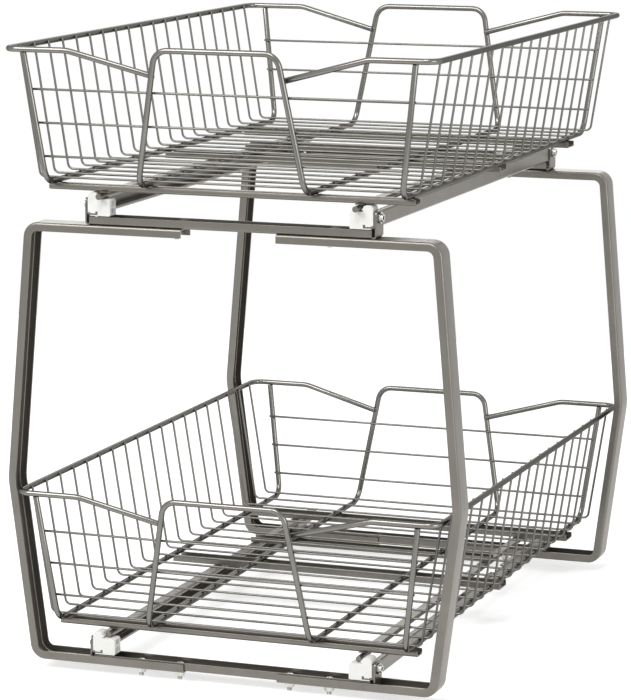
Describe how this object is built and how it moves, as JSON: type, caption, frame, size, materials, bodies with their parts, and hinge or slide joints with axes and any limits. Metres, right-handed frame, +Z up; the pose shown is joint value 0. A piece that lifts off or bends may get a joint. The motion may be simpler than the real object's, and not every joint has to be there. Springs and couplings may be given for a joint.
{
  "type": "under sink organizer",
  "caption": "Two tier sliding organizer: two wire baskets with handle loops slide forward on rails between bent channel side frames.",
  "frame": {"origin": "middle of the footprint, at the tips of the bottom screws that it stands on", "axes": "+Z up, +X to the right seen from the front, -Y toward the user, who pulls the baskets along -Y"},
  "size_m": [0.3666, 0.5128, 0.4867],
  "materials": {
    "pewter_sheet": "satin pewter coated sheet steel",
    "pewter_wire": "satin pewter coated steel rod and wire",
    "zinc_steel": "zinc plated steel",
    "nylon": "white nylon"
  },
  "bodies": {
    "frame": {"front_half_frame_left": "pewter_sheet", "front_half_frame_right": "pewter_sheet", "rear_half_frame_left": "pewter_sheet", "rear_half_frame_right": "pewter_sheet", "lower_front_cross_bar": "pewter_sheet", "lower_rear_cross_bar": "pewter_sheet", "upper_front_cross_bar": "pewter_sheet", "upper_rear_cross_bar": "pewter_sheet", "lower_fixed_rail_left": "pewter_sheet", "lower_fixed_rail_right": "pewter_sheet", "upper_fixed_rail_left": "pewter_sheet", "upper_fixed_rail_right": "pewter_sheet", "lower_glide_block_left": "nylon", "lower_glide_block_right": "nylon", "upper_glide_block_left": "nylon", "upper_glide_block_right": "nylon", "rail_rivets": "zinc_steel", "bottom_bar_screws": "zinc_steel", "bottom_bar_nuts": "zinc_steel", "top_bar_screws": "zinc_steel", "top_bar_nuts": "zinc_steel"},
    "lower_basket": {"lower_rim_left": "pewter_wire", "lower_rim_right": "pewter_wire", "lower_handle_loop": "pewter_wire", "lower_outer_rod_left": "pewter_wire", "lower_outer_rod_right": "pewter_wire", "lower_side_wires": "pewter_wire", "lower_front_wires": "pewter_wire", "lower_rear_wires": "pewter_wire", "lower_front_cross_rod": "pewter_wire", "lower_middle_stiffener": "pewter_sheet", "lower_rear_tie": "pewter_sheet", "lower_rear_stiffener": "pewter_sheet", "lower_moving_rail_left": "pewter_sheet", "lower_moving_rail_right": "pewter_sheet", "lower_rear_shoe_left": "nylon", "lower_rear_shoe_right": "nylon"},
    "upper_basket": {"upper_rim_left": "pewter_wire", "upper_rim_right": "pewter_wire", "upper_handle_loop": "pewter_wire", "upper_outer_rod_left": "pewter_wire", "upper_outer_rod_right": "pewter_wire", "upper_side_wires": "pewter_wire", "upper_front_wires": "pewter_wire", "upper_rear_wires": "pewter_wire", "upper_front_cross_rod": "pewter_wire", "upper_middle_stiffener": "pewter_sheet", "upper_rear_tie": "pewter_sheet", "upper_rear_stiffener": "pewter_sheet", "upper_moving_rail_left": "pewter_sheet", "upper_moving_rail_right": "pewter_sheet", "upper_rear_shoe_left": "nylon", "upper_rear_shoe_right": "nylon"}
  },
  "joints": [
    {"name": "lower_basket_slide", "type": "slide", "parent": "frame", "child": "lower_basket", "axis": [0, -1, 0], "range_m": [0, 0.3]},
    {"name": "upper_basket_slide", "type": "slide", "parent": "frame", "child": "upper_basket", "axis": [0, -1, 0], "range_m": [-0.01, 0.3]}
  ]
}
